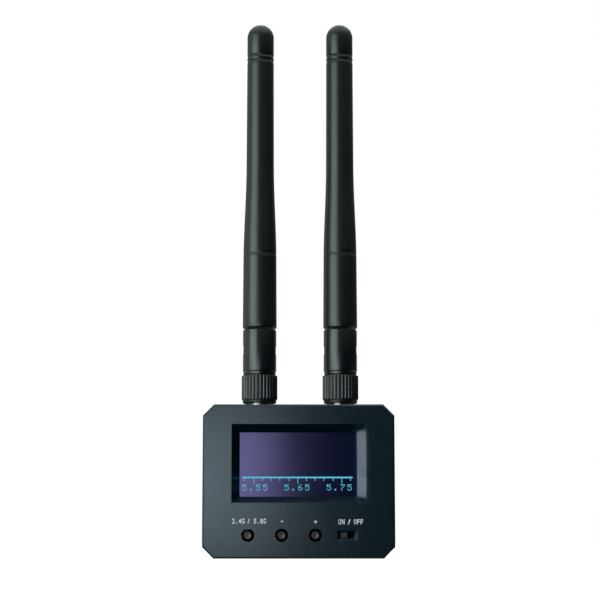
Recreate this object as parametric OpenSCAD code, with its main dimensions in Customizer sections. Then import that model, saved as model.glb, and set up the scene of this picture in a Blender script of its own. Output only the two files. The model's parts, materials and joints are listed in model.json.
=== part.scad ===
// Pocket two-band radio spectrum analyzer with two folding antennas.
// Millimetres. X to the right, the face with the display looks toward -Y, Z up.
// Origin: bottom centre of the whole object, at the level it stands on.

/* [Case] */
// Width of the case
case_w = 51; // [50:0.5:54]
// Height of the case
case_h = 40.7; // [40.7:0.1:42]
// Thickness of the case walls
wall = 1.7; // [1.5:0.1:1.8]
// Size of the 45 degree cuts on the four corners
corner = 3; // [2.2:0.1:3.2]
// Bevel along the front and back edges
edge_bevel = 0.45; // [0.2:0.05:0.8]

/* [Display window] */
// Width of the window opening at the front face
window_w = 35.7; // [34:0.1:36]
// Height of the window opening at the front face
window_h = 20.8; // [20:0.1:21.5]
// Depth of the sloped window frame
window_depth = 3.2; // [2.4:0.1:3.2]

/* [Controls] */
// Spacing of the three push buttons
button_pitch = 8.94; // [8:0.02:9.2]
// Diameter of the button holes
button_hole_d = 3.5; // [3:0.1:3.6]
// Diameter of the button plungers
plunger_d = 2.2; // [2:0.1:2.6]
// Travel of a push button
press_travel = 0.25; // [0.2:0.05:0.3]
// Travel of the power switch
switch_travel = 1.75; // [1.5:0.05:1.8]

/* [Antennas] */
// Half the distance between the two antenna axes
antenna_x = 11.03; // [10.5:0.01:12]
// Height of an antenna above its knurled nut
antenna_reach = 98.7; // [80:0.1:140]
// Outside diameter of the tube at the hinge end
tube_d = 9.3; // [8.9:0.1:9.4]
// Outside diameter of the tube above its shoulder
slim_d = 7.6; // [7.4:0.1:8]
// Outside diameter of the tube at its tip
tip_d = 7.4; // [7:0.1:7.6]
// Number of ribs on the knurled nut
rib_count = 32; // [24:1:40]

/* [Hidden] */
$fn = 64;
eps = 0.01;

// Case
half_d = 10;                        // half the depth of the case
seam_bevel = 0.15;                  // bevel along the joint between the shells
face_in = -half_d + wall;           // inner side of the front wall
back_in = half_d - wall;            // inner side of the back wall
side_in = case_w / 2 - wall;
top_in = case_h - wall;
lip = 0.75;                         // thickness of the lip between the shells
lip_h = 1.2;
post_x = side_in - 2.9;             // screw posts
post_z = [wall + 2.9, top_in - 4.8];
post_r = 2.1;

// Window and display
window_x = 0.05;
window_z = [14.64, 14.64 + window_h];
frame_y = -half_d + window_depth;   // back of the sloped frame
frame_half = 18.5;                  // half the width of the frame, clear of the screw posts
frame_in_left = 2.07;               // how far the slopes run inward
frame_in_right = 2.35;
frame_in_top = 2.08;
frame_in_bottom = 1.66;
glass_w = 34.5;
glass_z = [11.6, 34.6];
glass_x = -0.35;
disp_board_y = [-5.2, -4.2];
disp_board_w = 36;
disp_board_z = [10.4, 38.4];
header_z = 36.9;

// Main board
board_t = 0.8;                      // half its thickness
board_w = 46.4;
board_z = [2.3, 38.4];

// Controls
control_z = 6.1;
button_x = [for (i = [0 : 2]) -4.5 + (i - 1) * button_pitch];
button_tip_y = -9.2;
dome_y = -3.08;                     // top of the tact switch domes
cover_y = -4.3;                     // front of the tact switch covers
tact_half = 3;                      // half the width of a tact switch
switch_x = 12.82;
knob_w = 1.65;
slot_w = 5.37;
slot_h = 2.64;
slot_bevel = 0.5;

// Antennas
antenna_shift = 0.35;               // the pair stands this far right of the case's middle
jack_top = 46.9;
nut_z = [41.65, 49.3];
root_r = 4.66;                      // between the ribs of the knurled nut
crest_r = 4.88;                     // over the ribs
base_z = [49.45, 61.85];
pivot_z = 56.2;
shoulder_z = 62.15;
tip_z = nut_z[1] + antenna_reach;
base_r = 4.55;
neck_r = 4.4;                       // foot of the turning base
cheek_r = base_z[1] - pivot_z;      // rounding of the fork cheeks about the pivot
fork_gap = 4.6;
tongue_w = 4.2;
tongue_r = 3.1;
pivot_r = 1.3;
coax_r = 0.9;
thread_pitch = 0.7056;

// ---------- basic shapes ----------
module box(x, y, z) translate([x[0], y[0], z[0]]) cube([x[1] - x[0], y[1] - y[0], z[1] - z[0]]);
module rod_z(r, z) translate([0, 0, z[0]]) cylinder(r = r, h = z[1] - z[0]);
module rod_y(r, y) translate([0, y[0], 0]) rotate([-90, 0, 0]) cylinder(r = r, h = y[1] - y[0]);
module rod_x(r, x) translate([x[0], 0, 0]) rotate([0, 90, 0]) cylinder(r = r, h = x[1] - x[0]);
// Cone along Y from radius r[0] at y[0] to r[1] at y[1]
module cone_y(r, y) translate([0, y[0], 0]) rotate([-90, 0, 0])
    cylinder(r1 = r[0], r2 = r[1], h = y[1] - y[0]);
// Outline in X-Z drawn out along Y
module slab_y(pts, y) translate([0, y[1], 0]) rotate([90, 0, 0]) linear_extrude(y[1] - y[0]) polygon(pts);
// Outline in Y-Z drawn out along X
module slab_x(pts, x) translate([x[0], 0, 0]) rotate([90, 0, 90]) linear_extrude(x[1] - x[0]) polygon(pts);
// Outline in X-Y drawn out along Z
module slab_z(pts, z) translate([0, 0, z[0]]) linear_extrude(z[1] - z[0]) polygon(pts);
// Ring with radii r[0] < r[1]
module ring_z(r, z) difference() { rod_z(r[1], z); rod_z(r[0], [z[0] - 1, z[1] + 1]); }
// Outline with cut corners, centred in X
function cut_rect(w, z, c) = [[-w/2 + c, z[0]], [w/2 - c, z[0]], [w/2, z[0] + c], [w/2, z[1] - c],
    [w/2 - c, z[1]], [-w/2 + c, z[1]], [-w/2, z[1] - c], [-w/2, z[0] + c]];
// Cross-section from y[0] to y[1] between a and b, bevelled by k[0] at y[0] and k[1] at y[1]
function bevelled(a, b, y, k) = [[y[0], a + k[0]], [y[0] + k[0], a], [y[1] - k[1], a], [y[1], a + k[1]],
    [y[1], b - k[1]], [y[1] - k[1], b], [y[0] + k[0], b], [y[0], b - k[0]]];
function swap(pts) = [for (p = pts) [p[1], p[0]]];

// ---------- case ----------
// Eight-sided block whose front and back edges are bevelled
module case_block(y, k) {
    far = case_w + case_h;
    diagonal = (case_w / 2 + case_h / 2 - corner) / sqrt(2);
    intersection() {
        slab_y(cut_rect(case_w, [0, case_h], corner), y);
        slab_x(bevelled(0, case_h, y, k), [-far, far]);
        slab_z(swap(bevelled(-case_w / 2, case_w / 2, y, k)), [-far, far]);
        diagonal_blocks(diagonal, y, k, far);
    }
}
module diagonal_blocks(d, y, k, far) intersection() {
    translate([0, 0, case_h / 2]) rotate([0, 45, 0]) slab_z(swap(bevelled(-d, d, y, k)), [-far, far]);
    translate([0, 0, case_h / 2]) rotate([0, -45, 0]) slab_z(swap(bevelled(-d, d, y, k)), [-far, far]);
}
// Outline of the case moved inward by t
function inset_outline(t) = cut_rect(case_w - 2 * t, [t, case_h - t], corner - (2 - sqrt(2)) * t);
// Copies at the four screw posts
module at_posts() for (s = [-1, 1], z = post_z) translate([s * post_x, 0, z]) children();
// Webs from the posts to the side walls
module post_webs(y) for (s = [-1, 1], z = post_z)
    box(s > 0 ? [post_x, side_in + eps] : [-side_in - eps, -post_x], y, [z - 1, z + 1]);
module jack_holes() for (s = [-1, 1]) at_antenna(s) rod_z(3.3, [top_in - 1, case_h + 1]);

// Outline of a funnel that narrows from span a at the face, by in[0] and in[1] at a depth,
// carried on past both ends
function funnel(a, in, depth, over) = let (k = over / depth) [
    [a[0] - in[0] * k, -half_d - over], [a[1] + in[1] * k, -half_d - over],
    [a[1] - in[1] * (1 + k), -half_d + depth + over], [a[0] + in[0] * (1 + k), -half_d + depth + over]];
// Rectangular funnel of the display window
module window_cut() {
    over = 1;
    across = [window_x - window_w / 2, window_x + window_w / 2];
    intersection() {
        slab_z(funnel(across, [frame_in_left, frame_in_right], window_depth, over), [0, case_h]);
        slab_x(swap(funnel(window_z, [frame_in_bottom, frame_in_top], window_depth, over)),
            [-case_w, case_w]);
    }
}
// Slot of the power switch with a bevelled mouth
module slot_cut() {
    w = slot_w / 2;
    h = slot_h / 2;
    over = 0.5;
    translate([switch_x, 0, control_z]) {
        box([-w + slot_bevel, w - slot_bevel], [-half_d - 1, face_in + 1],
            [-h + slot_bevel, h - slot_bevel]);
        intersection() {
            slab_z(funnel([-w, w], [slot_bevel, slot_bevel], slot_bevel, over), [-case_h, case_h]);
            slab_x(swap(funnel([-h, h], [slot_bevel, slot_bevel], slot_bevel, over)),
                [-case_w, case_w]);
        }
    }
}

module front_shell() color([0.16, 0.18, 0.20]) difference() {
    union() {
        difference() {
            case_block([-half_d, 0], [edge_bevel, seam_bevel]);
            slab_y(inset_outline(wall), [face_in, 1]);
            // rebate that takes the lip of the back shell
            slab_y(inset_outline(wall - lip), [-lip_h - 0.1, 1]);
        }
        // frame behind the window
        box([window_x - frame_half, window_x + frame_half], [face_in - eps, frame_y], [13.1, 37.0]);
        for (x = button_x) translate([x, 0, control_z]) rod_y(2.7, [face_in - eps, -6.9]);
        at_posts() rod_y(post_r, [face_in - eps, -board_t - 0.05]);
        post_webs([face_in - eps, -lip_h - 0.4]);
    }
    window_cut();
    slot_cut();
    for (x = button_x) translate([x, 0, control_z]) rod_y(button_hole_d / 2, [-half_d - 1, -6]);
    at_posts() rod_y(1.0, [-6.6, 1]);
    jack_holes();
}

module back_shell() color([0.13, 0.15, 0.17]) difference() {
    union() {
        difference() {
            union() {
                case_block([0, half_d], [seam_bevel, edge_bevel]);
                slab_y(inset_outline(wall - lip + 0.08), [-lip_h, seam_bevel + eps]);
            }
            slab_y(inset_outline(wall), [-lip_h - 1, back_in]);
        }
        at_posts() rod_y(post_r, [board_t + 0.05, back_in + eps]);
        post_webs([board_t + 0.4, back_in + eps]);
    }
    at_posts() {
        rod_y(1.15, [0, half_d + 1]);
        cone_y([1.0, 2.35], [half_d - 1.25, half_d + 0.1]);
    }
    jack_holes();
    // mouth of the charging port
    translate([-case_w / 2 - 1, 2.38, 20]) {
        box([0, wall + 1 + eps], [-1.78, 1.78], [-3.0, 3.0]);
        for (z = [-3.0, 3.0]) translate([0, 0, z]) rod_x(1.78, [0, wall + 1 + eps]);
    }
}

// Four countersunk screws put in from the back
module case_screws() color([0.55, 0.56, 0.58]) at_posts() difference() {
    union() {
        rod_y(0.95, [-5.2, half_d - 0.3]);
        cone_y([0.95, 1.95], [half_d - 1.15, half_d - 0.15]);
    }
    cone_y([0.35, 0.9], [half_d - 0.75, half_d]);
}

// ---------- circuit board ----------
// The legs of the tact switches, each mirrored to point away from its switch
module at_tact_legs() for (x = button_x, i = [0, 1], j = [-1, 1])
    translate([x, 0, control_z + j * 2.25]) mirror([i, 0, 0]) translate([tact_half, 0, 0]) children();
module at_header_pins() for (i = [0 : 3]) translate([(i - 1.5) * 2.54, 0, header_z]) children();
module main_board() color([0.05, 0.25, 0.14]) difference() {
    slab_y(cut_rect(board_w, board_z, 1.2), [-board_t, board_t]);
    // notches for the flange and the contact of each jack
    for (s = [-1, 1]) at_antenna(s) {
        box([-3.4, 3.4], [-1, 1], [36.55, 40]);
        box([-0.8, 0.8], [-1, 1], [34.3, 40]);
    }
    at_posts() rod_y(1.2, [-2, 2]);
    at_tact_legs() translate([0.12, 0, 0]) rod_y(0.45, [-2, 2]);
    for (i = [-1 : 1]) translate([switch_x + i * 2.5, 0, control_z]) rod_y(0.45, [-2, 2]);
    at_header_pins() rod_y(0.45, [-2, 2]);
}

// ---------- display ----------
module display_polarizer() color([0.10, 0.09, 0.22])
    box([window_x - 16.0, window_x + 16.0], [-6.78, -6.66], [15.9, 33.95]);
module display_glass() color([0.30, 0.36, 0.38]) translate([glass_x, 0, 0])
    slab_y(cut_rect(glass_w, glass_z, 0.3), [-6.65, disp_board_y[0]]);
module display_board() color([0.06, 0.16, 0.34]) difference() {
    translate([glass_x, 0, 0]) box([-disp_board_w / 2, disp_board_w / 2], disp_board_y, disp_board_z);
    at_header_pins() rod_y(0.45, [-6, -3]);
    for (s = [-1, 1]) translate([glass_x + s * 15.8, 0, header_z]) rod_y(0.8, [-6, -3]);
    translate([glass_x, 0, 0]) box([-7, 7], [-6, -3], [10, 10.9]);
}
// Flat cable folded from the glass round to the back of the display board
module display_flex() color([0.80, 0.52, 0.16]) translate([glass_x, 0, 0]) slab_x([
    [-6.0, 11.6], [-6.0, 10.75], [-5.75, 10.5], [-4.05, 10.5], [-4.05, 14],
    [-4.18, 14], [-4.18, 10.63], [-5.7, 10.63], [-5.87, 10.8], [-5.87, 11.6]], [-6, 6]);
// Four-pin header between the two boards
module display_header() color([0.12, 0.12, 0.12]) {
    difference() {
        box([-5.08, 5.08], [disp_board_y[1], -board_t], [header_z - 1.2, header_z + 1.2]);
        at_header_pins() rod_y(0.3, [-6, 2]);
    }
    at_header_pins() rod_y(0.32, [-5.9, 1.9]);
}

// ---------- push buttons ----------
module plunger(x) translate([x, 0, control_z]) {
    foot = dome_y - press_travel - 0.07;
    rod_y(plunger_d / 2, [button_tip_y + 0.2, foot]);
    cone_y([plunger_d / 2 - 0.2, plunger_d / 2], [button_tip_y, button_tip_y + 0.2]);
    rod_y(1.75, [foot - 0.55, foot]);
}
module mode_button() color([0.20, 0.21, 0.22]) plunger(button_x[0]);
module minus_button() color([0.20, 0.21, 0.22]) plunger(button_x[1]);
module plus_button() color([0.20, 0.21, 0.22]) plunger(button_x[2]);
// Square moulded bodies with a round well for the plunger and its dome
module tact_housings() color([0.10, 0.10, 0.11])
for (x = button_x) translate([x, 0, control_z]) difference() {
    slab_y(cut_rect(2 * tact_half, [-tact_half, tact_half], 0.35), [cover_y + 0.2, -board_t]);
    rod_y(2.1, [cover_y - 1, -2.2]);
}
module tact_covers() color([0.72, 0.73, 0.75])
for (x = button_x) translate([x, 0, control_z]) difference() {
    slab_y(cut_rect(5.8, [-2.9, 2.9], 0.35), [cover_y, cover_y + 0.2]);
    rod_y(plunger_d / 2 + 0.25, [cover_y - 1, 0]);
}
module tact_domes() color([0.78, 0.78, 0.74]) for (x = button_x) translate([x, 0, control_z])
    rotate([90, 0, 0]) rotate_extrude() polygon([[0, -dome_y], [0.8, 2.98], [1.6, 2.62], [1.9, 2.32],
        [1.9, 2.2], [1.75, 2.2], [1.5, 2.5], [0.75, 2.86], [0, 2.96]]);
// Solder legs, one at each corner of a housing
module tact_leads() color([0.75, 0.75, 0.78]) at_tact_legs() box([0, 0.25], [-2.2, 1.5], [-0.3, 0.3]);

// ---------- power switch ----------
module at_switch() translate([switch_x, 0, control_z]) children();
// Ribbed slider shown in its on position, at the left
module power_knob() color([0.10, 0.10, 0.11]) at_switch() translate([-switch_travel / 2, 0, 0]) {
    difference() {
        box([-knob_w / 2, knob_w / 2], [-9.35, -2.7], [-0.7, 0.7]);
        for (i = [-1 : 1]) box([i * 0.45 - 0.09, i * 0.45 + 0.09], [-10, -9.2], [-1, 1]);
    }
    box([-1.5, 1.5], [-3.4, -2.2], [-0.95, 0.95]);
}
// Folded metal cover, slotted for the slider
module switch_shell() color([0.74, 0.75, 0.77]) at_switch() difference() {
    box([-4.3, 4.3], [-4.1, -1.1], [-1.8, 1.8]);
    box([-4.1, 4.1], [-3.9, 0], [-1.6, 1.6]);
    box([-2.05, 2.05], [-5, -3], [-0.85, 0.85]);
}
module switch_base() color([0.16, 0.12, 0.09]) at_switch() {
    box([-4.05, 4.05], [-1.75, -board_t], [-1.55, 1.55]);
    for (s = [-1, 1]) box(s > 0 ? [2.6, 4.05] : [-4.05, -2.6], [-3.85, -1.74], [-1.55, 1.55]);
    for (i = [-1 : 1]) translate([i * 2.5, 0, 0]) rod_y(0.3, [-board_t - eps, 1.6]);
}
// Spring clip that the slider carries along the terminals
module switch_contact() color([0.80, 0.62, 0.30]) at_switch() translate([-switch_travel / 2, 0, 0])
    box([-1.3, 1.3], [-2.19, -2.0], [-0.6, 0.6]);

// ---------- parts on the back of the board ----------
// Chip of size c with slightly cut corners
module chip(x, z, y, c) translate([x, 0, z])
    slab_y(cut_rect(c[0], [-c[1] / 2, c[1] / 2], min(c[0], c[1]) * 0.05), y);
module processor() color([0.10, 0.10, 0.11]) chip(12.4, 12.3, [board_t, 1.9], [7, 7]);
module high_band_board() color([0.05, 0.22, 0.16]) box([-16.6, 4.4], [board_t, 1.6], [11.4, 32.9]);
module high_band_can() color([0.76, 0.77, 0.78]) difference() {
    box([-15.6, 3.4], [1.6, 3.8], [12.4, 31.0]);
    box([-15.4, 3.2], [1.5, 3.6], [12.6, 30.8]);
}
module low_band_board() color([0.05, 0.22, 0.16]) box([6.2, 18.2], [board_t, 1.6], [17.2, 32.9]);
module low_band_can() color([0.76, 0.77, 0.78]) difference() {
    box([7.0, 17.4], [1.6, 3.6], [19.0, 31.0]);
    box([7.2, 17.2], [1.5, 3.4], [19.2, 30.8]);
}
module crystal() color([0.80, 0.80, 0.78]) chip(19.2, 13.6, [board_t, 1.6], [3.2, 2.5]);
// Small resistors and capacitors in two rows
module passives() color([0.62, 0.55, 0.45]) {
    for (i = [0 : 4]) box([18 + i * 0.9, 18.5 + i * 0.9], [board_t, 1.25], [9.6, 10.6]);
    for (i = [0 : 5]) box([-22.2, -21.2], [board_t, 1.3], [8.4 + i * 1.0, 8.9 + i * 1.0]);
}
module power_chips() color([0.10, 0.10, 0.11]) {
    chip(-20.2, 28.2, [board_t, 1.75], [3, 3]);
    chip(-19.2, 10.8, [board_t, 1.9], [1.6, 2.9]);
}
// Receptacle open to the left side
module usb_shell() color([0.78, 0.79, 0.80]) translate([0, 2.38, 20]) difference() {
    union() {
        box([-case_w / 2 + 0.4, -17.9], [-1.55, 1.55], [-2.9, 2.9]);
        for (z = [-2.9, 2.9]) translate([0, 0, z]) rod_x(1.55, [-case_w / 2 + 0.4, -17.9]);
    }
    box([-case_w / 2, -18.2], [-1.25, 1.25], [-2.9, 2.9]);
    for (z = [-2.9, 2.9]) translate([0, 0, z]) rod_x(1.25, [-case_w / 2, -18.2]);
}
module usb_tongue() color([0.09, 0.09, 0.10]) translate([0, 2.38, 20]) {
    box([-24.4, -19.4], [-0.35, 0.35], [-3.3, 3.3]);
    box([-19.4, -18.2], [-1.2, 1.2], [-3.3, 3.3]);
}

// ---------- battery ----------
module battery_cell() color([0.70, 0.71, 0.73]) translate([0, 6.15, 0])
    slab_z(cut_rect(30, [-2, 2], 0.75), [2.4, 22.4]);
// Path of one lead as straight runs with ball corners
module wire(r, pts) for (i = [1 : len(pts) - 1]) {
    a = pts[i - 1];
    b = pts[i];
    d = b - a;
    translate(a) rotate([0, acos(d[2] / norm(d)), atan2(d[1], d[0])])
        cylinder(r = r, h = norm(d), $fn = 24);
    if (i < len(pts) - 1) translate(b) sphere(r = r, $fn = 24);
}
module battery_leads() color([0.70, 0.10, 0.08]) for (i = [0, 1]) {
    x = 10 + i * 2;
    z = 24.6 - i * 1.6;
    wire(0.45, [[x, 6.2, 22.4], [x, 6.2, z], [20.9, 6.2, z], [20.9, 5.0, z]]);
}
module battery_connector() color([0.88, 0.87, 0.82]) difference() {
    box([18.9, 22.9], [board_t, 5.0], [19.6, 27.4]);
    box([19.7, 22.1], [4.2, 6], [20.4, 21.6]);
}

// ---------- antenna jacks ----------
module at_antenna(s) translate([s * antenna_x + antenna_shift, 0, 0]) children();
// Threaded jack held by its flange under the top wall, with legs on both sides of the board
module jack() {
    difference() {
        union() {
            box([-3.2, 3.2], [-3.2, 3.2], [36.6, top_in - 0.1]);
            rod_z(2.75, [top_in - 0.2, jack_top]);
            // thread ridges
            rotate_extrude() {
                for (i = [0 : 7]) translate([0, 40.95 + i * thread_pitch])
                    polygon([[2.6, 0], [2.75, 0], [3.1, 0.22], [3.1, 0.36], [2.75, 0.58], [2.6, 0.58]]);
            }
            for (x = [-2.55, 2.55], y = [-1.5, 1.5]) translate([x, y, 0])
                box([-0.6, 0.6], [-0.6, 0.6], [33.2, 36.7]);
        }
        rod_z(2.3, [44.5, jack_top + 1]);
        rod_z(2.02, [30, jack_top]);
    }
}
module left_jack() color([0.74, 0.74, 0.72]) at_antenna(-1) jack();
module right_jack() color([0.74, 0.74, 0.72]) at_antenna(1) jack();
module jack_insulators() color([0.92, 0.91, 0.88]) for (s = [-1, 1]) at_antenna(s) difference() {
    union() {
        rod_z(2.0, [36.7, 44.5]);
        rod_z(1.45, [44.4, 45.6]);
    }
    rod_z(0.66, [36, 46]);
}
// Centre contacts, soldered into the board at the bottom and sprung open at the top
module jack_contacts() color([0.86, 0.72, 0.40]) for (s = [-1, 1]) at_antenna(s) difference() {
    rod_z(0.64, [34.4, 45.6]);
    rod_z(0.5, [42.9, 46]);
}

// ---------- antennas ----------
// Plug body: the nut pulls on its collar and the swivel turns on its post
module ferrule() rotate_extrude() polygon([[1.6, 44.8], [2.2, 44.8], [2.2, 46.95], [3.0, 46.95],
    [3.0, 47.85], [2.45, 47.85], [2.45, 49.35], [2.1, 49.35], [2.1, 51.35], [1.7, 51.35], [1.7, 51.85],
    [2.1, 51.85], [2.1, 52.3], [1.3, 52.3], [1.3, 48.0], [1.6, 48.0]]);
module plug_insulator() difference() {
    rod_z(1.58, [46.0, 47.95]);
    rod_z(0.48, [45, 49]);
}
module plug_pin() {
    rod_z(0.46, [43.6, 48.3]);
    translate([0, 0, 43.3]) cylinder(r1 = 0.2, r2 = 0.46, h = 0.3);
}
module snap_ring() difference() {
    ring_z([1.74, 2.75], [51.4, 51.8]);
    box([-0.6, 0.6], [0, 4], [51, 52]);
}
// Threaded nut, turned by the knurled sleeve that is pressed on it
module hex_nut() difference() {
    translate([0, 0, nut_z[0] + 0.15]) cylinder(r = 4.12, h = 48.6 - nut_z[0] - 0.15, $fn = 6);
    rod_z(3.22, [41, 47.9]);
    rod_z(2.55, [47, 50]);
}
module knurled_nut() difference() {
    union() {
        rotate_extrude() polygon([[0, nut_z[0]], [4.38, nut_z[0]], [4.55, nut_z[0] + 0.17],
            [4.55, nut_z[0] + 0.8], [root_r, nut_z[0] + 0.9],
            [root_r, nut_z[1] - 0.2], [root_r - 0.2, nut_z[1]], [0, nut_z[1]]]);
        for (i = [0 : rib_count - 1]) rotate([0, 0, (i + 0.5) * 360 / rib_count])
            slab_z([[4.4, -0.27], [4.72, -0.25], [crest_r, -0.12], [crest_r, 0.12], [4.72, 0.25],
                [4.4, 0.27]], [nut_z[0] + 0.85, nut_z[1] - 0.15]);
    }
    translate([0, 0, nut_z[0] - 1]) cylinder(r = 4.16, h = 48.65 - nut_z[0] + 1, $fn = 6);
    rod_z(2.75, [48, 50]);
}
// Turning base: a fork that is closed at the front and open at the back
module swivel() difference() {
    rotate_extrude() polygon([[0, base_z[0]], [neck_r - 0.1, base_z[0]], [neck_r, base_z[0] + 0.1],
        [neck_r, base_z[0] + 0.7], [base_r, base_z[0] + 0.95],
        [base_r, base_z[1] - 0.3], [base_r - 0.3, base_z[1]], [0, base_z[1]]]);
    rod_z(2.18, [49, 53]);
    rod_z(3.1, [51.35, 52.7]);
    // fork slot for the tongue of the tube
    box([-fork_gap / 2, fork_gap / 2], [-tongue_r - 0.35, 6], [52.69, 63]);
    // the cheeks are rounded about the pivot behind it
    difference() {
        box([-6, 6], [0, 6], [pivot_z, 63]);
        translate([0, 0, pivot_z]) rod_x(cheek_r, [-7, 7]);
    }
    translate([0, 0, pivot_z]) rod_x(pivot_r + 0.05, [-6, 6]);
}
// Radius of the tube at height z: slim above, a smooth shoulder, wider toward the hinge
function blend(t) = (1 - cos(180 * t)) / 2;
shoulder = [80, 108.5];
function tube_r(z) = z <= shoulder[0] ? tube_d / 2 - 0.1 * (z - shoulder_z) / (shoulder[0] - shoulder_z)
    : slim_d / 2 + (tube_d / 2 - 0.1 - slim_d / 2)
        * (1 - blend((z - shoulder[0]) / (shoulder[1] - shoulder[0])));
// Groove across the outline of the tube at height z
function groove(z) = [[tip_d / 2, z - 0.35], [tip_d / 2 - 0.2, z - 0.15],
    [tip_d / 2 - 0.2, z + 0.15], [tip_d / 2, z + 0.35]];
groove_below_tip = [10.65, 9.25];
module tube_body() rotate_extrude() polygon(concat(
    [[0, shoulder_z], [tube_d / 2 - 0.3, shoulder_z], [tube_d / 2, shoulder_z + 0.3]],
    [for (i = [0 : 14]) let (z = shoulder[0] + (shoulder[1] - shoulder[0]) * i / 14) [tube_r(z), z]],
    groove(tip_z - groove_below_tip[0]), groove(tip_z - groove_below_tip[1]),
    [for (a = [0 : 9 : 90]) [tip_d / 2 * cos(a), tip_z - tip_d / 2 * (1 - sin(a))]]));
module tube() difference() {
    union() {
        tube_body();
        // tongue with its two pivot stubs
        box([-tongue_w / 2, tongue_w / 2], [-tongue_r, tongue_r], [pivot_z, shoulder_z + eps]);
        translate([0, 0, pivot_z]) {
            rod_x(tongue_r, [-tongue_w / 2, tongue_w / 2]);
            rod_x(pivot_r, [-4.25, 4.25]);
            rod_x(pivot_r - 0.4, [-4.45, 4.45]);
        }
    }
    // room for the coax between the ears, and the hollow of the tube
    box([-1.1, 1.1], [-5, 5], [pivot_z - 5, shoulder_z - 1.2]);
    rod_z(1.1, [pivot_z, 70]);
    rod_z(3.0, [64.5, 99]);
    rod_z(2.6, [98, tip_z - 4.5]);
}
module lower_coax() {
    difference() {
        rod_z(coax_r, [48.05, pivot_z]);
        rod_z(0.48, [47, 48.6]);
    }
    translate([0, 0, pivot_z]) sphere(r = coax_r);
}
module upper_coax() rod_z(coax_r, [pivot_z + coax_r + 0.1, 84]);
// Sleeve and whip of the dipole at the end of the coax
module radiator() {
    difference() {
        rod_z(2.3, [72, 96]);
        rod_z(2.1, [70, 95.5]);
    }
    rod_z(0.5, [84, tip_z - 22]);
    rod_z(0.9, [84, 84.6]);
}

module left_ferrule() color([0.74, 0.74, 0.72]) at_antenna(-1) ferrule();
module left_plug_insulator() color([0.92, 0.91, 0.88]) at_antenna(-1) plug_insulator();
module left_plug_pin() color([0.86, 0.72, 0.40]) at_antenna(-1) plug_pin();
module left_snap_ring() color([0.70, 0.71, 0.72]) at_antenna(-1) snap_ring();
module left_hex_nut() color([0.74, 0.74, 0.72]) at_antenna(-1) hex_nut();
module left_knurled_nut() color([0.09, 0.10, 0.11]) at_antenna(-1) knurled_nut();
module left_swivel() color([0.10, 0.11, 0.12]) at_antenna(-1) swivel();
module left_tube() color([0.11, 0.12, 0.13]) at_antenna(-1) tube();
module left_lower_coax() color([0.55, 0.42, 0.28]) at_antenna(-1) lower_coax();
module left_upper_coax() color([0.55, 0.42, 0.28]) at_antenna(-1) upper_coax();
module left_radiator() color([0.78, 0.60, 0.32]) at_antenna(-1) radiator();
module right_ferrule() color([0.74, 0.74, 0.72]) at_antenna(1) ferrule();
module right_plug_insulator() color([0.92, 0.91, 0.88]) at_antenna(1) plug_insulator();
module right_plug_pin() color([0.86, 0.72, 0.40]) at_antenna(1) plug_pin();
module right_snap_ring() color([0.70, 0.71, 0.72]) at_antenna(1) snap_ring();
module right_hex_nut() color([0.74, 0.74, 0.72]) at_antenna(1) hex_nut();
module right_knurled_nut() color([0.09, 0.10, 0.11]) at_antenna(1) knurled_nut();
module right_swivel() color([0.10, 0.11, 0.12]) at_antenna(1) swivel();
module right_tube() color([0.11, 0.12, 0.13]) at_antenna(1) tube();
module right_lower_coax() color([0.55, 0.42, 0.28]) at_antenna(1) lower_coax();
module right_upper_coax() color([0.55, 0.42, 0.28]) at_antenna(1) upper_coax();
module right_radiator() color([0.78, 0.60, 0.32]) at_antenna(1) radiator();

front_shell();
back_shell();
case_screws();
main_board();
display_polarizer();
display_glass();
display_board();
display_flex();
display_header();
mode_button();
minus_button();
plus_button();
tact_housings();
tact_covers();
tact_domes();
tact_leads();
power_knob();
switch_shell();
switch_base();
switch_contact();
processor();
high_band_board();
high_band_can();
low_band_board();
low_band_can();
crystal();
passives();
power_chips();
usb_shell();
usb_tongue();
battery_cell();
battery_leads();
battery_connector();
left_jack();
right_jack();
jack_insulators();
jack_contacts();
left_ferrule();
left_plug_insulator();
left_plug_pin();
left_snap_ring();
left_hex_nut();
left_knurled_nut();
left_swivel();
left_tube();
left_lower_coax();
left_upper_coax();
left_radiator();
right_ferrule();
right_plug_insulator();
right_plug_pin();
right_snap_ring();
right_hex_nut();
right_knurled_nut();
right_swivel();
right_tube();
right_lower_coax();
right_upper_coax();
right_radiator();
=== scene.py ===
# Looks of a pocket spectrum analyzer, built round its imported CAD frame.
# Lengths in the tables below are millimetres; MM turns them into metres.
import json
import math

import bmesh
import bpy
from mathutils import Matrix, Vector


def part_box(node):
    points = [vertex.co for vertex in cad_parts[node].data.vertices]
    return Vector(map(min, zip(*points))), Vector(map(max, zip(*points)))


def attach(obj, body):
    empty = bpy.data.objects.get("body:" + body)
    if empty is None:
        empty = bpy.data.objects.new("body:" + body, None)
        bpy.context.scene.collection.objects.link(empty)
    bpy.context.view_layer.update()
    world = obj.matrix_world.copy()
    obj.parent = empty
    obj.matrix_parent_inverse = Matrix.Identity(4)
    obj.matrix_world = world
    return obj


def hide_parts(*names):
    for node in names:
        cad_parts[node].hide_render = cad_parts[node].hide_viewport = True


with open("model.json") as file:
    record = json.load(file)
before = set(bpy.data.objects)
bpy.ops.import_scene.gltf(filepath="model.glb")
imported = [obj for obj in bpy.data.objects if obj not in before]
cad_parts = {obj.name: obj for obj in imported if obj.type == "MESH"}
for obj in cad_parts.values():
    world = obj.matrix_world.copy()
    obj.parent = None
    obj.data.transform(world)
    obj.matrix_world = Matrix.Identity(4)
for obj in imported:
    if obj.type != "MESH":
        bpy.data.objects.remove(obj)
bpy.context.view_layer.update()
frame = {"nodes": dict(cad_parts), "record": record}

MM = 0.001
FULL_TURN = 2 * math.pi
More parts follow.
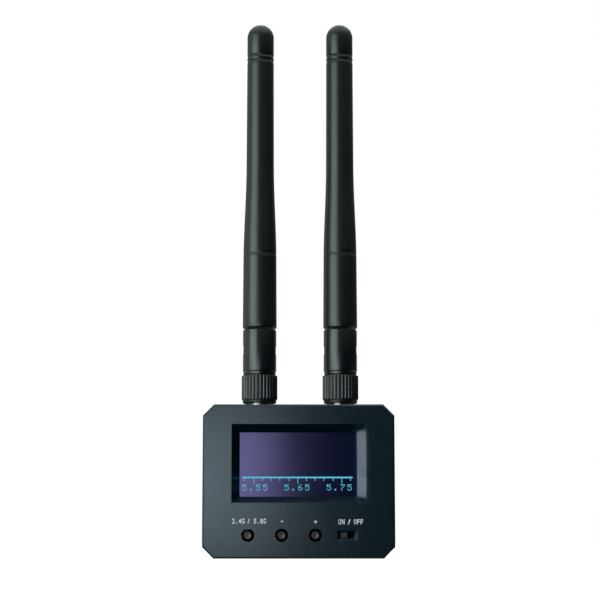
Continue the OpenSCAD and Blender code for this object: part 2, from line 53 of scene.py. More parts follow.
X, Y, Z = Vector((1, 0, 0)), Vector((0, 1, 0)), Vector((0, 0, 1))


# ---------------------------------------------------------------- shader maths
class Value:
    """A node's output that takes part in sums. Each operator adds one Math node."""

    def __init__(self, finish, socket):
        self.finish, self.socket = finish, socket

    def _math(self, operation, a, b):
        return self.finish.node("ShaderNodeMath", {"operation": operation}, {0: a, 1: b})

    def __add__(self, other):
        return self._math("ADD", self, other)

    def __radd__(self, other):
        return self._math("ADD", other, self)

    def __sub__(self, other):
        return self._math("SUBTRACT", self, other)

    def __rsub__(self, other):
        return self._math("SUBTRACT", other, self)

    def __mul__(self, other):
        return self._math("MULTIPLY", self, other)

    def __rmul__(self, other):
        return self._math("MULTIPLY", other, self)

    def __gt__(self, other):
        return self._math("GREATER_THAN", self, other)

    def __lt__(self, other):
        return self._math("LESS_THAN", self, other)

    def highest(self, other):
        return self._math("MAXIMUM", self, other)

    def step(self, low, high):
        """0 below low, 1 above high and smooth between."""
        return self.finish.node("ShaderNodeMapRange", {"interpolation_type": "SMOOTHSTEP"},
            {"Value": self, "From Min": low, "From Max": high})


class Finish:
    """A node tree being filled, for a material or for the world."""

    def __init__(self, tree):
        self.tree = tree
        tree.nodes.clear()

    def node(self, kind, settings, values, out=0):
        made = self.tree.nodes.new(kind)
        for key, setting in settings.items():
            setattr(made, key, setting)
        for key, value in values.items():
            if isinstance(value, Value):
                self.tree.links.new(value.socket, made.inputs[key])
            else:
                made.inputs[key].default_value = value
        return Value(self, made.outputs[out])

    def where(self):
        return self.node("ShaderNodeTexCoord", {}, {}, "Object")

    def stretched(self, scale):
        return self.node("ShaderNodeMapping", {}, {"Vector": self.where(), "Scale": scale})

    def noise(self, size, detail=2.0, scale=(1, 1, 1)):
        """Noise whose patches are about size millimetres across."""
        return self.node("ShaderNodeTexNoise", {},
            {"Vector": self.stretched(scale), "Scale": 1 / (size * MM), "Detail": detail})

    def cells(self, size, out="Distance"):
        return self.node("ShaderNodeTexVoronoi", {}, {"Vector": self.where(), "Scale": 1 / (size * MM)}, out)

    def axis(self, name):
        return self.node("ShaderNodeSeparateXYZ", {}, {0: self.where()}, name)

    def mix(self, factor, a, b):
        return self.node("ShaderNodeMix", {"data_type": "RGBA"}, {0: factor, 6: a, 7: b}, 2)

    def bump(self, height, depth, strength=1.0):
        return self.node("ShaderNodeBump", {},
            {"Height": height, "Distance": depth * MM, "Strength": strength})

    def surface(self, **values):
        named = {key.replace("_", " "): value for key, value in values.items()}
        shader = self.node("ShaderNodeBsdfPrincipled", {}, named)
        self.end(shader)

    def end(self, shader):
        out = self.tree.nodes.new("ShaderNodeOutputMaterial")
        self.tree.links.new(shader.socket, out.inputs["Surface"])


def finish_of(name):
    material = bpy.data.materials.new(name)
    material.use_nodes = True
    return material, Finish(material.node_tree)


def rgb(r, g, b):
    return (r, g, b, 1.0)


def shade(colour, k):
    return rgb(*(k * c for c in colour[:3]))


# ---------------------------------------------------------------- materials
COOL = rgb(0.88, 1.0, 1.0)  # tint of the antennas' gloss


def moulded(name, colour, roughness, grain=0.16, depth=0.004, cloud=9.0, **more):
    """Moulded plastic: fine spark-eroded grain, slow changes of gloss and tone."""
    material, f = finish_of(name)
    fine = f.noise(grain, 3.0)
    slow = f.noise(cloud, 2.0)
    scuffs = f.noise(1.4, 4.0, (1, 1, 3.5)).step(0.62, 0.78)
    f.surface(
        Base_Color=f.mix(slow, shade(colour, 0.86), shade(colour, 1.16)),
        Roughness=roughness - 0.03 + 0.05 * slow + 0.03 * fine + 0.03 * scuffs,
        Normal=f.bump(fine, depth),
        **more)
    return material


def metal(name, colour, roughness, stretch=(1, 1, 12), grain=0.5, depth=0.002):
    """Drawn or turned metal: fine lines along one direction and a faint tarnish."""
    material, f = finish_of(name)
    lines = f.noise(grain, 3.0, stretch)
    tarnish = f.noise(2.6, 3.0).step(0.45, 0.75)
    f.surface(
        Base_Color=f.mix(tarnish, colour, shade(colour, 0.72)),
        Metallic=1.0,
        Roughness=roughness - 0.05 + 0.1 * lines + 0.1 * tarnish,
        Normal=f.bump(lines, depth))
    return material


def solder_mask(name, colour):
    """Lacquered circuit board with tracks that show through the lacquer and vias."""
    material, f = finish_of(name)
    upright = f.node("ShaderNodeMapping", {}, {"Vector": f.where(), "Rotation": (math.pi / 2, 0, 0)})
    tracks = f.node("ShaderNodeTexBrick", {"offset": 0.5},
        {"Vector": upright, "Scale": 1.0, "Brick Width": 3.1 * MM, "Row Height": 0.9 * MM,
         "Mortar Size": 0.12 * MM, "Mortar Smooth": 0.3}, "Fac")
    vias = f.cells(1.7) < 0.16
    weave = f.noise(0.4, 1.0)
    f.surface(
        Base_Color=f.mix(vias, f.mix(tracks, colour, shade(colour, 1.9)), rgb(0.62, 0.44, 0.16)),
        Metallic=0.9 * vias,
        Roughness=0.24 + 0.12 * weave + 0.1 * tracks,
        Normal=f.bump(tracks + 0.15 * weave, 0.012),
        Coat_Roughness=0.15)
    return material


def ceramic_parts(name):
    """Chip parts: tan or dark bodies from cell to cell."""
    material, f = finish_of(name)
    tone = f.node("ShaderNodeSeparateColor", {}, {0: f.cells(1.5, "Color")}, 0)
    grain = f.noise(0.1, 2.0)
    f.surface(
        Base_Color=f.mix(tone > 0.6, rgb(0.40, 0.29, 0.17), rgb(0.03, 0.03, 0.033)),
        Roughness=0.42 + 0.12 * grain,
        Normal=f.bump(grain, 0.004))
    return material


def foil(name):
    """Wrinkled aluminium pouch."""
    material, f = finish_of(name)
    folds = f.noise(3.2, 4.0)
    fine = f.noise(0.5, 2.0)
    f.surface(
        Base_Color=f.mix(folds, rgb(0.55, 0.56, 0.58), rgb(0.75, 0.76, 0.78)),
        Metallic=1.0,
        Roughness=0.3 + 0.15 * fine,
        Normal=f.bump(folds + 0.2 * fine, 0.12))
    return material


def amber_film(name):
    """Polyimide cable with its copper lines showing through."""
    material, f = finish_of(name)
    lines = f.node("ShaderNodeTexWave", {"wave_type": "BANDS", "bands_direction": "X"},
        {"Vector": f.where(), "Scale": 0.12 / MM, "Distortion": 0.0}, "Fac")
    haze = f.noise(1.5, 2.0)
    f.surface(
        Base_Color=f.mix(lines.step(0.4, 0.6), rgb(0.42, 0.17, 0.02), rgb(0.60, 0.32, 0.08)),
        Roughness=0.22 + 0.1 * haze,
        Normal=f.bump(lines, 0.01))
    return material


def display_film(name):
    """Glossy dark film over the panel. Its coating reflects violet."""
    material, f = finish_of(name)
    haze = f.noise(6.0, 2.0)
    dust = f.noise(0.25, 2.0).step(0.74, 0.8)
    f.surface(
        Base_Color=f.mix(haze, rgb(0.0002, 0.0026, 0.0125), rgb(0.0004, 0.0036, 0.0165)),
        Roughness=0.17 + 0.03 * haze + 0.1 * dust,
        Normal=f.bump(haze, 0.003),
        Specular_IOR_Level=1.0,
        Specular_Tint=rgb(0.42, 0.42, 0.86))
    return material


def dark_glass(name):
    material, f = finish_of(name)
    haze = f.noise(4.0, 2.0)
    f.surface(
        Base_Color=f.mix(haze, rgb(0.010, 0.014, 0.017), rgb(0.016, 0.021, 0.025)),
        Roughness=0.06 + 0.05 * haze,
        Normal=f.bump(haze, 0.001))
    return material


def lit_dots(name):
    """Cyan dots, a little paler to the right."""
    material, f = finish_of(name)
    across = f.axis("X").step(-14 * MM, 16 * MM)
    flicker = f.noise(0.3, 1.0)
    glow = f.mix(across, rgb(0.020, 0.40, 0.60), rgb(0.10, 0.58, 0.74))
    f.surface(
        Base_Color=rgb(0.01, 0.05, 0.07),
        Roughness=0.4 + 0.1 * flicker,
        Emission_Color=f.mix(flicker, glow, rgb(0.08, 0.56, 0.74)),
        Emission_Strength=1.0)
    return material


def ink(name):
    """Screen-printed off-white legend, paler and darker in patches."""
    material, f = finish_of(name)
    patchy = f.noise(0.18, 3.0)
    f.surface(
        Base_Color=f.mix(patchy.step(0.35, 0.6), rgb(0.42, 0.45, 0.48), rgb(0.72, 0.74, 0.76)),
        Roughness=0.5 + 0.15 * patchy,
        Normal=f.bump(patchy, 0.003))
    return material


def antenna_skin(name):
    """Satin black skin of the tubes: fine grain with faint lines round the tube."""
    material, f = finish_of(name)
    grain = f.noise(0.14, 3.0)
    rings = f.noise(0.6, 2.0, (0.05, 0.05, 1))
    slow = f.noise(14.0, 2.0)
    f.surface(
        Base_Color=f.mix(slow, rgb(0.0018, 0.0042, 0.0048), rgb(0.0026, 0.0054, 0.0060)),
        Roughness=0.31 + 0.04 * slow + 0.03 * grain,
        Normal=f.bump(grain + 0.4 * rings, 0.0035),
        Specular_Tint=COOL)
    return material


BLACK = rgb(0.0008, 0.0072, 0.0125)     # case
SOOT = rgb(0.0018, 0.0042, 0.0048)      # antenna nuts and swivels
PAINTS = {
    "case_plastic": moulded("case_plastic", BLACK, 0.25, 0.18, 0.0022, Specular_Tint=rgb(0.75, 1.0, 1.0)),
    "screw_steel": metal("screw_steel", rgb(0.32, 0.32, 0.34), 0.3, (1, 8, 1)),
    "circuit_board": solder_mask("circuit_board", rgb(0.010, 0.075, 0.030)),
    "display_circuit_board": solder_mask("display_circuit_board", rgb(0.008, 0.030, 0.12)),
    "module_circuit_board": solder_mask("module_circuit_board", rgb(0.006, 0.05, 0.035)),
    "display_film": display_film("display_film"),
    "display_glass": dark_glass("display_glass"),
    "flat_cable": amber_film("flat_cable"),
    "button_plastic": moulded("button_plastic", rgb(0.020, 0.024, 0.028), 0.36, 0.12, 0.003),
    "black_moulding": moulded("black_moulding", rgb(0.012, 0.012, 0.013), 0.45, 0.12, 0.004),
    "brown_moulding": moulded("brown_moulding", rgb(0.045, 0.026, 0.014), 0.45, 0.12, 0.004),
    "white_moulding": moulded("white_moulding", rgb(0.66, 0.64, 0.58), 0.4, 0.2, 0.003),
    "chip_plastic": moulded("chip_plastic", rgb(0.016, 0.016, 0.018), 0.5, 0.08, 0.004),
    "ceramic_chip": ceramic_parts("ceramic_chip"),
    "stamped_steel": metal("stamped_steel", rgb(0.62, 0.62, 0.63), 0.26, (12, 1, 1)),
    "spring_steel": metal("spring_steel", rgb(0.42, 0.42, 0.43), 0.3),
    "shield_can": metal("shield_can", rgb(0.66, 0.66, 0.65), 0.3, (1, 1, 14)),
    "contact_brass": metal("contact_brass", rgb(0.72, 0.46, 0.17), 0.26),
    "gilded_brass": metal("gilded_brass", rgb(0.86, 0.60, 0.22), 0.2),
    "nickel_plate": metal("nickel_plate", rgb(0.46, 0.46, 0.44), 0.24),
    "battery_foil": foil("battery_foil"),
    "lead_insulation": moulded("lead_insulation", rgb(0.38, 0.012, 0.010), 0.4, 0.2, 0.003),
    "nut_plastic": moulded("nut_plastic", SOOT, 0.33, 0.12, 0.003, Specular_Tint=COOL),
    "swivel_plastic": moulded("swivel_plastic", SOOT, 0.27, 0.12, 0.002, Specular_Tint=COOL),
    "antenna_rubber": antenna_skin("antenna_rubber"),
    "coax_jacket": moulded("coax_jacket", rgb(0.15, 0.062, 0.022), 0.28, 0.3, 0.002),
    "printed_legend": ink("printed_legend"),
    "display_dots": lit_dots("display_dots"),
}


# ---------------------------------------------------------------- mesh helpers
def piece(name, bm, slot, body, stands_for=(), sharp=35.0):
    """Turns a finished bmesh into a piece that rides on a body.
    Edges sharper than sharp stay crisp. With sharp None the faces keep the shading they have."""
    if sharp:
        for face in bm.faces:
            face.smooth = True
    mesh = bpy.data.meshes.new(name)
    bm.to_mesh(mesh)
    bm.free()
    mesh.materials.append(PAINTS[slot])
    if sharp:
        mesh.set_sharp_from_angle(angle=math.radians(sharp))
    made = bpy.data.objects.new(name, mesh)
    bpy.context.scene.collection.objects.link(made)
    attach(made, body)
    if stands_for:
        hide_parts(*stands_for)
    return made


def copy_of(node):
    """The CAD node's mesh, joined up and with its flat faces made whole."""
    bm = bmesh.new()
    bm.from_mesh(frame["nodes"][node].data)
    bmesh.ops.remove_doubles(bm, verts=bm.verts, dist=0.001 * MM)
    bmesh.ops.dissolve_limit(bm, angle_limit=math.radians(0.4), verts=bm.verts, edges=bm.edges)
    return bm


def eased(bm, width, corner=30.0, shortest=0.0):
    """Rounds every edge sharper than corner degrees, but for those shorter than shortest,
    such as the rims of small holes. Flat faces are shaded flat, the rest smooth."""
    bends = {edge: edge.calc_face_angle(0.0) for edge in bm.edges}
    for face in bm.faces:
        face.smooth = any(math.radians(0.5) < bends[edge] < math.radians(corner) for edge in face.edges)
    rims = [edge for edge in bm.edges
        if bends[edge] >= math.radians(corner) and edge.calc_length() >= shortest * MM]
    made = bmesh.ops.bevel(bm, geom=rims,
        offset=width * MM, offset_type="OFFSET", segments=2, profile=0.5, affect="EDGES",
        clamp_overlap=True, material=-1)
    for face in made["faces"]:
        face.smooth = True
    return bm


def spun(bm, profile, centre, axis, steps, closed=False):
    """Turns a profile of (radius, height) points round an axis through centre."""
    centre, side = Vector(centre) * MM, X if axis != X else Y
    verts = [bm.verts.new(centre + side * r * MM + axis * h * MM) for r, h in profile]
    pairs = list(zip(verts, verts[1:])) + ([(verts[-1], verts[0])] if closed else [])
    edges = [bm.edges.new(pair) for pair in pairs]
    bmesh.ops.spin(bm, geom=verts + edges, cent=centre, axis=axis, dvec=(0, 0, 0), angle=FULL_TURN,
        space=Matrix.Identity(4), steps=steps, use_merge=True, use_normal_flip=False, use_duplicate=False)
    bmesh.ops.remove_doubles(bm, verts=bm.verts, dist=0.0005 * MM)
    bmesh.ops.recalc_face_normals(bm, faces=bm.faces)


def slab(bm, outline, low, high, place):
    """Draws an outline out from low to high. place turns (u, v, height) into a point."""
    face = bm.faces.new([bm.verts.new(Vector(place(u, v, low)) * MM) for u, v in outline])
    grown = bmesh.ops.extrude_face_region(bm, geom=[face])
    shift = Vector(place(0, 0, high)) * MM - Vector(place(0, 0, low)) * MM
    bmesh.ops.translate(bm, vec=shift, verts=[v for v in grown["geom"] if isinstance(v, bmesh.types.BMVert)])
    bmesh.ops.recalc_face_normals(bm, faces=bm.faces)


def block(bm, low, high):
    made = bmesh.ops.create_cube(bm, size=1.0)["verts"]
    low, high = Vector(low) * MM, Vector(high) * MM
    bmesh.ops.scale(bm, vec=high - low, verts=made)
    bmesh.ops.translate(bm, vec=(low + high) / 2, verts=made)
    return made


def span(node):
    low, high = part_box(node)
    return low / MM, high / MM


# ---------------------------------------------------------------- case
FACE_INSET = 0.012          # the moulding's face lies this far behind the printed legends
CASE_EASE = 0.09            # rounding of the moulding's edges
HOLE_SEGMENT = 0.2          # edges shorter than this belong to the rims of holes and stay crisp
face_y = span("front_shell")[0].y

bm = copy_of("front_shell")
for v in bm.verts:
    if v.co.y < (face_y + 0.001) * MM:
        v.co.y += FACE_INSET * MM
piece("case_front", eased(bm, CASE_EASE, shortest=HOLE_SEGMENT), "case_plastic", "case",
    ["front_shell"], sharp=None)
piece("case_back", eased(copy_of("back_shell"), CASE_EASE, shortest=HOLE_SEGMENT), "case_plastic", "case",
    ["back_shell"], sharp=None)


# ---------------------------------------------------------------- controls
KEY_R = 1.1                 # plunger of a push button
SKIRT_R = 1.7               # bell-shaped skirt round the plunger
FLANGE_R = 1.75             # flange at its foot
FLANGE = 0.55               # thickness of the flange
FLANGE_EASE = 0.09          # slope of its edges


def key(name, node):
    """Round push-button plunger with a rounded rim, a shallow dish and a bell-shaped skirt."""
    low, high = span(node)
    middle = (low + high) / 2
    tip, foot = low.y, high.y
    dish = [(0, 0.10), (0.35, 0.085), (0.62, 0.04), (0.78, 0.005), (0.86, 0)]
    rim = [(0.95, 0.03), (1.03, 0.10), (1.08, 0.19), (KEY_R, 0.32)]
    skirt = [(KEY_R, 2.0), (SKIRT_R, 3.6), (SKIRT_R, 3.8), (KEY_R, 3.8)]
    profile = [(r, tip + depth) for r, depth in dish + rim + skirt]
    profile += [(KEY_R, foot - FLANGE), (FLANGE_R - FLANGE_EASE, foot - FLANGE),
        (FLANGE_R, foot - FLANGE + FLANGE_EASE), (FLANGE_R, foot - 0.06), (FLANGE_R - 0.06, foot), (0, foot)]
    bm = bmesh.new()
    spun(bm, profile, (middle.x, 0, middle.z), Y, 48)
    piece(name, bm, "button_plastic", node, [node], sharp=50.0)


key("mode_key", "mode_button")
key("minus_key", "minus_button")
key("plus_key", "plus_button")

knob_low, knob_high = span("power_knob")
knob_x, knob_z = (knob_low.x + knob_high.x) / 2, (knob_low.z + knob_high.z) / 2
KNOB_HALF = 0.825           # half the width of the knob's stem
KNOB_FOOT = -2.7            # where the stem ends in its foot
RIB_GAPS = (-0.45, 0.0, 0.45)
RIB_GROOVE = ((-0.13, 0), (-0.07, 0.15), (0.07, 0.15), (0.13, 0))
outline = [(-KNOB_HALF, knob_low.y)]
for gap in RIB_GAPS:
    outline += [(gap + u, knob_low.y + v) for u, v in RIB_GROOVE]
outline += [(KNOB_HALF, knob_low.y), (KNOB_HALF, KNOB_FOOT), (-KNOB_HALF, KNOB_FOOT)]
bm = bmesh.new()
slab(bm, [(knob_x + u, v) for u, v in outline], knob_z - 0.7, knob_z + 0.7, lambda u, v, h: (u, v, h))
block(bm, (knob_x - 1.5, -3.4, knob_z - 0.95), (knob_x + 1.5, knob_high.y, knob_z + 0.95))
piece("power_slider_knob", eased(bm, 0.04, 20.0), "button_plastic", "power_slider",
    ["power_knob"], sharp=None)


# ---------------------------------------------------------------- screws
def screw(bm, x, z, low_y, high_y):
    """Countersunk screw with a cross recess in its head."""
    arm, width, rim, depth = 1.0, 0.17, 1.9, 0.6
    cross = [(width, width), (width, arm), (-width, arm), (-width, width), (-arm, width), (-arm, -width),
        (-width, -width), (-width, -arm), (width, -arm), (width, -width), (arm, -width), (arm, width)]
    top = high_y - 0.02
    inner = [bm.verts.new(Vector((x + u, top, z + v)) * MM) for u, v in cross]
    floor = bm.faces.new(inner)
    circle = bmesh.ops.create_circle(bm, segments=36, radius=rim * MM, cap_ends=False)["verts"]
    bmesh.ops.rotate(bm, verts=circle, matrix=Matrix.Rotation(math.pi / 2, 3, "X"))
    bmesh.ops.translate(bm, verts=circle, vec=Vector((x, top, z)) * MM)
    rim_edges = list({e for v in circle for e in v.link_edges})
    bmesh.ops.bridge_loops(bm, edges=list(floor.edges) + rim_edges)
    sunk = bmesh.ops.extrude_face_region(bm, geom=[floor])["geom"]
    sunk = [v for v in sunk if isinstance(v, bmesh.types.BMVert)]
    if floor.is_valid:
        bm.faces.remove(floor)
    middle = Vector((x, top, z)) * MM
    bmesh.ops.scale(bm, vec=(0.6, 1, 0.6), verts=sunk, space=Matrix.Translation(-middle))
    bmesh.ops.translate(bm, verts=sunk, vec=(0, -depth * MM, 0))
    ring = rim_edges
    sides = ((1.95, high_y - 0.08), (0.97, high_y - 1.02), (0.95, high_y - 1.1),
        (0.95, low_y + 0.3), (0.6, low_y))
    for radius, y in sides:
        grown = bmesh.ops.extrude_edge_only(bm, edges=ring)["geom"]
        ring = [e for e in grown if isinstance(e, bmesh.types.BMEdge)]
        for v in (v for v in grown if isinstance(v, bmesh.types.BMVert)):
            out = Vector((v.co.x / MM - x, 0, v.co.z / MM - z)).normalized() * radius
            v.co = Vector((x + out.x, y, z + out.z)) * MM
    bmesh.ops.contextual_create(bm, geom=ring)
    bmesh.ops.recalc_face_normals(bm, faces=bm.faces)


screws_low, screws_high = span("case_screws")
TO_AXIS = 1.9               # from the outermost screw's side to its axis
bm = bmesh.new()
for x in (screws_low.x + TO_AXIS, screws_high.x - TO_AXIS):
    for z in (screws_low.z + TO_AXIS, screws_high.z - TO_AXIS):
        screw(bm, x, z, screws_low.y, screws_high.y)
piece("case_screw_set", bm, "screw_steel", "case", ["case_screws"], sharp=30.0)


# ---------------------------------------------------------------- lit picture
DOT = 29.42 / 128           # pitch of the dots
PICTURE_LEFT, PICTURE_TOP = -15.05, 32.42
GLYPHS = {
    "5": ("#####", "#....", "####.", "....#", "....#", "#...#", ".###."),
    "6": ("..##.", ".#...", "#....", "####.", "#...#", "#...#", ".###."),
    "7": ("#####", "....#", "...#.", "..#..", ".#...", ".#...", ".#..."),
    ".": (".....", ".....", ".....", ".....", ".....", ".##..", ".##.."),
}
film_y = span("display_polarizer")[0].y


def lit(bm, column, row, wide=1, high=1):
    """A lit run of dots as one thin tile, its first dot at column and row."""
    gap = 0.02
    x, z = PICTURE_LEFT + column * DOT, PICTURE_TOP - row * DOT
    block(bm, (x + gap, film_y - 0.012, z - high * DOT + gap),
        (x + wide * DOT - gap, film_y - 0.002, z - gap))


bm = bmesh.new()
for column in range(128):
    lit(bm, column, 47, high=2)
for k in range(13):
    long_tick = k in (1, 6, 11)
    for row in range(49, 55 if long_tick else 52):
        lit(bm, round(2.3 + 10.24 * k), row)
for start, label in ((0, "5.55"), (49, "5.65"), (98, "5.75")):
    for place, letter in enumerate(label):
        for row, dots in enumerate(GLYPHS[letter]):
            for column, dot in enumerate(dots):
                if dot == "#":
                    lit(bm, start + 8 * place + column, 56 + row)
piece("lit_picture", bm, "display_dots", "case", sharp=30.0)


# ---------------------------------------------------------------- legends
LETTER_GAP = 0.2            # between the letters of a word
STROKE = 0.022              # thickens the strokes, for a letter drawn at size 1
DOT_WIDE = 0.3              # the decimal point


def printed(bm, letter, left, right, low, high):
    """One letter on the face, fitted to a box."""
    text = bpy.data.curves.new("legend", "FONT")
    text.body = letter
    text.extrude = 0.01
    text.offset = STROKE
    text.resolution_u = 3
    carrier = bpy.data.objects.new("legend", text)
    bpy.context.scene.collection.objects.link(carrier)
    bpy.context.view_layer.update()
    mesh = bpy.data.meshes.new_from_object(carrier.evaluated_get(bpy.context.evaluated_depsgraph_get()))
    bpy.data.objects.remove(carrier)
    bpy.data.curves.remove(text)
    us, vs = [v.co.x for v in mesh.vertices], [v.co.y for v in mesh.vertices]
    wide, tall = (right - left) / (max(us) - min(us)), (high - low) / (max(vs) - min(vs))
    for v in mesh.vertices:
        u, w, h = v.co
        depth = 0 if h > 0 else 0.03
        v.co = Vector((left + (u - min(us)) * wide, face_y + depth, low + (w - min(vs)) * tall)) * MM
    bm.from_mesh(mesh)
    bpy.data.meshes.remove(mesh)


def legend(bm, words, left, right, low, high):
    """Evenly spaced letters between left and right."""
    cell = (right - left + LETTER_GAP) / len(words)
    for k, letter in enumerate(words):
        start = left + k * cell
        stop = start + cell - LETTER_GAP
        if letter == ".":
            middle = (start + stop) / 2
            printed(bm, letter, middle - DOT_WIDE / 2, middle + DOT_WIDE / 2, low, low + DOT_WIDE)
        else:
            printed(bm, letter, start, stop, low, high)


bm = bmesh.new()
for words, left, right, low, high in (
        ("2.4G", -17.52, -14.31, 9.15, 10.50), ("/", -13.50, -12.90, 9.15, 10.50),
        ("5.8G", -11.85, -8.61, 9.15, 10.50), ("-", -4.68, -3.98, 9.60, 9.86),
        ("+", 4.04, 4.90, 9.20, 10.06),
        ("ON", 10.41, 12.13, 8.95, 10.35), ("/", 12.95, 13.71, 8.95, 10.35),
        ("OFF", 14.54, 17.00, 8.95, 10.35)):
    legend(bm, words, left, right, low, high)
bmesh.ops.remove_doubles(bm, verts=bm.verts, dist=0.0005 * MM)
bmesh.ops.recalc_face_normals(bm, faces=bm.faces)
piece("front_legends", bm, "printed_legend", "case", sharp=30.0)


# ---------------------------------------------------------------- antennas
PIVOT_Z = 56.2             # height of the hinge pins
SHOULDER_Z = 62.15         # foot of the tube, over the hinge


def knurled_sleeve(side, x):
    """Sleeve with 32 straight ribs, rounded at their ends, over a hexagonal pocket."""
    low, high = span(f"{side}_knurled_nut")
    z0, z1 = low.z, high.z
    root, crest, ribs = 4.64, 4.88, 32
    hexagon = 4.16
    rib_foot, rib_head = z0 + 0.85, z1 - 0.08
    rises = (0, 0.08, 0.18, 0.32, 0.5)
    profile = [(hexagon, z0), (4.34, z0), (4.44, z0 + 0.04), (4.54, z0 + 0.16),
        (4.57, z0 + 0.3), (4.57, z0 + 0.74)]
    profile += [(root, rib_foot + rise) for rise in rises] + [(root, (z0 + z1) / 2)]
    profile += [(root, rib_head - rise / 2) for rise in reversed(rises)]
    profile += [(4.52, z1 - 0.07), (4.44, z1), (2.75, z1), (2.75, z1 - 0.5), (hexagon, z1 - 0.5)]
    bm = bmesh.new()
    spun(bm, profile, (x, 0, 0), Z, ribs * 10, closed=True)
    axis = Vector((x, 0, 0)) * MM
    for v in bm.verts:
        out = Vector((v.co.x, v.co.y, 0)) - axis
        r, angle, z = out.length / MM, math.atan2(out.y, out.x), v.co.z / MM
        if r > root - 0.01:
            rise = min(max((z - rib_foot) / 0.5, 0), 1) * min(max((rib_head - z) / 0.25, 0), 1)
            crown = max(0.0, math.cos(angle * ribs - math.pi)) ** 0.7
            out *= (root + (crest - root) * crown * math.sin(rise * math.pi / 2)) / r
        elif abs(r - hexagon) < 0.01:
            within = (angle + FULL_TURN) % (math.pi / 3) - math.pi / 6
            out *= math.cos(math.pi / 6) / math.cos(within)
        v.co.x, v.co.y = axis.x + out.x, out.y
    piece(f"{side}_knurled_sleeve", bm, "nut_plastic", f"{side}_nut", [f"{side}_knurled_nut"], sharp=48.0)


def antenna_tube(side, x):
    """Tube with a rounded foot, a long shoulder, two grooves, a domed tip and the two ears of the hinge."""
    tip, foot = span(f"{side}_tube")[1].z, SHOULDER_Z
    wide, slim, end = 4.65, 3.8, 3.7        # radii at the foot, over the shoulder and at the tip
    shoulder = (80.0, 108.5)
    seam = 82.7
    below = wide - 0.1                      # radius where the shoulder starts
    profile = [(0, foot), (wide - 0.40, foot), (wide - 0.25, foot + 0.03), (wide - 0.13, foot + 0.10),
        (wide - 0.05, foot + 0.2), (wide - 0.01, foot + 0.34)]
    profile += [(wide - 0.1 * (z - foot) / (shoulder[0] - foot), z) for z in (64, 70, 76, shoulder[0])]

    def radius(z):
        t = (z - shoulder[0]) / (shoulder[1] - shoulder[0])
        return slim + (below - slim) * (1 + math.cos(math.pi * t)) / 2
    profile += [(radius(81.4), 81.4), (radius(seam - 0.1), seam - 0.1), (radius(seam) - 0.03, seam - 0.03),
        (radius(seam) - 0.03, seam + 0.03), (radius(seam + 0.1), seam + 0.1)]
    steps = 24
    heights = [seam + (shoulder[1] - seam) * i / steps for i in range(1, steps + 1)]
    profile += [(radius(z), z) for z in heights]
    profile += [(slim + (end - slim) * t, shoulder[1] + (tip - 12 - shoulder[1]) * t)
        for t in (0.35, 0.7, 1.0)]
    groove, half = 0.2, 0.42
    for z in (tip - 10.65, tip - 9.25):
        profile += [(end - groove / 2 * (1 + math.cos(math.pi * t)), z + half * t)
            for t in (-1, -0.8, -0.6, -0.38, 0, 0.38, 0.6, 0.8, 1)]
    turns = 16
    rises = [math.pi / 2 * i / turns for i in range(turns)]
    profile += [(end * math.cos(rise), tip - end + end * math.sin(rise)) for rise in rises] + [(0, tip)]
    bm = bmesh.new()
    spun(bm, profile, (x, 0, 0), Z, 96)
    ears = bmesh.new()
    r, arc = 3.1, 20
    bends = [math.pi * i / arc for i in range(arc + 1)]
    outline = [(r * math.cos(bend), PIVOT_Z - r * math.sin(bend)) for bend in bends]
    outline = [(r, 62.3)] + outline + [(-r, 62.3)]
    for a, b in ((-2.1, -1.1), (1.1, 2.1)):
        slab(ears, outline, x + a, x + b, lambda u, v, h: (h, u, v))
    block(ears, (x - 1.15, -r + 0.02, 60.95), (x + 1.15, r - 0.02, 62.3))
    for s in (-1, 1):
        stub = [(0, 2.0), (1.3, 2.0), (1.3, 3.95), (1.22, 4.18), (0.9, 4.36), (0.45, 4.43), (0, 4.45)]
        spun(ears, [(r, s * out) for r, out in stub], (x, 0, PIVOT_Z), X, 40)
    joined = bpy.data.meshes.new("ears")
    ears.to_mesh(joined)
    ears.free()
    bm.from_mesh(joined)
    bpy.data.meshes.remove(joined)
    piece(f"{side}_antenna_tube", bm, "antenna_rubber", f"{side}_antenna", [f"{side}_tube"], sharp=32.0)


for side in ("left", "right"):
    low, high = span(f"{side}_swivel")
    x = (low.x + high.x) / 2
    knurled_sleeve(side, x)
    piece(f"{side}_swivel_base", eased(copy_of(f"{side}_swivel"), 0.12), "swivel_plastic",
        f"{side}_swivel_base", [f"{side}_swivel"], sharp=None)
    antenna_tube(side, x)


# ---------------------------------------------------------------- CAD nodes that stay
for row in frame["record"]["subparts"]:
    for held in frame["nodes"][row["node"]].material_slots:
        held.material = PAINTS[row["material_slot"]]


# ---------------------------------------------------------------- floor, light and camera
material, f = finish_of("pale_floor")
mottle = f.noise(120.0, 2.0)
f.surface(
    Base_Color=f.mix(mottle, rgb(0.90, 0.90, 0.90), rgb(0.93, 0.93, 0.93)),
    Roughness=0.55 + 0.1 * mottle,
    Normal=f.bump(mottle, 0.01),
    Emission_Color=rgb(1, 1, 1),
    Emission_Strength=0.75)
bm = bmesh.new()
bmesh.ops.create_grid(bm, x_segments=4, y_segments=4, size=3.0)
mesh = bpy.data.meshes.new("floor")
bm.to_mesh(mesh)
bm.free()
mesh.materials.append(material)
floor = bpy.data.objects.new("floor", mesh)
bpy.context.scene.collection.objects.link(floor)
floor.location.z = -0.00002
floor.visible_glossy = False
floor.visible_diffuse = False


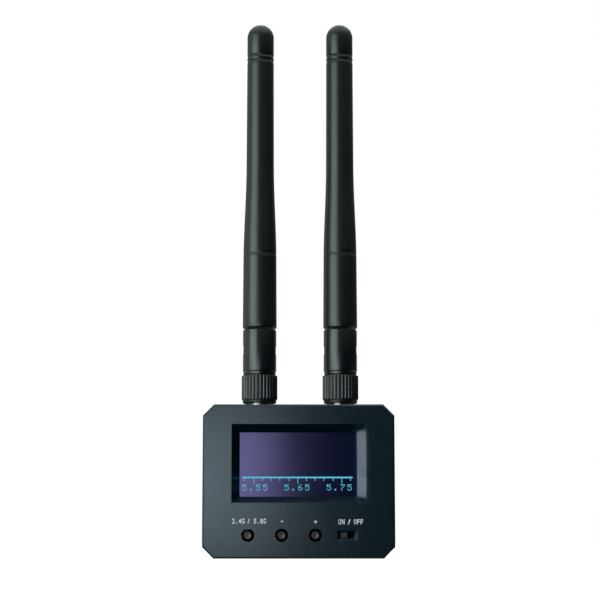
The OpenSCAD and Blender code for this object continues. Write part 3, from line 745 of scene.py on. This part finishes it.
def softbox(name, place, aim, size, radiance, colour=(1, 1, 1), spread=180.0):
    """Flat lamp at place, facing aim. Its brightness is given as seen, whatever its size."""
    lamp = bpy.data.lights.new(name, "AREA")
    lamp.shape = "RECTANGLE"
    lamp.size, lamp.size_y = size[0] * MM, size[1] * MM
    lamp.color = colour
    lamp.spread = math.radians(spread)
    lamp.energy = radiance * math.pi * lamp.size * lamp.size_y
    holder = bpy.data.objects.new(name, lamp)
    holder.location = Vector(place) * MM
    holder.rotation_euler = (Vector(aim) - Vector(place)).to_track_quat("-Z", "Y").to_euler()
    holder.visible_camera = False
    bpy.context.scene.collection.objects.link(holder)
    return holder


softbox("face_light", (-84, -160, 26), (-84, 0, 26), (150, 56), 3.7, (1.08, 0.98, 1.12))
softbox("side_light", (-430, -420, 170), (0, 0, 60), (520, 340), 4.4, (0.91, 1.02, 0.98))
softbox("top_light", (0, 60, 900), (0, 60, 0), (1400, 1400), 0.9)
# Narrow beam along the normal of the right-hand slope of the display frame. Its colour cancels
# the tint of the case plastic there.
slope = softbox("slope_light", (-15.5, -32.1, 25), (16.7, -8.4, 25), (3.9, 17.4), 144.0,
    (1.0, 0.139, 0.096), spread=2.0)
slope.visible_glossy = False

world = bpy.data.worlds.new("studio")
bpy.context.scene.world = world
world.use_nodes = True
f = Finish(world.node_tree)
toward = f.node("ShaderNodeTexCoord", {}, {}, "Generated")
east, north, up = (f.node("ShaderNodeSeparateXYZ", {}, {0: toward}, n) for n in "XYZ")
behind = 0.3 * north.step(0.5, 1.0)
leftward = 0.8 * (0 - east).step(0.45, 1.0)
below = 0.55 * (0 - up).step(0.0, 0.15) * north.step(-0.4, 0.3)
overhead = 0.4 * up.step(0.12, 0.45)
bright = (behind + leftward).highest(below).highest(overhead)
light = f.node("ShaderNodeBackground", {},
    {"Color": f.mix(bright, rgb(0.003, 0.004, 0.006), rgb(1, 1, 1)), "Strength": 1.0})
seen = f.node("ShaderNodeBackground", {}, {"Color": rgb(1, 1, 1), "Strength": 1.0})
camera_ray = f.node("ShaderNodeLightPath", {}, {}, "Is Camera Ray")
both = f.node("ShaderNodeMixShader", {}, {0: camera_ray, 1: light, 2: seen})
out = world.node_tree.nodes.new("ShaderNodeOutputWorld")
world.node_tree.links.new(both.socket, out.inputs["Surface"])

lens = bpy.data.cameras.new("camera")
lens.sensor_width = 36.0
lens.lens = 101.5
lens.clip_start = 0.01
camera = bpy.data.objects.new("camera", lens)
camera.location = Vector((0.356, -460, 5)) * MM
camera.rotation_euler = (math.radians(90 + 8.06), 0, 0)
bpy.context.scene.collection.objects.link(camera)
bpy.context.scene.camera = camera
bpy.context.scene.view_settings.view_transform = "Standard"
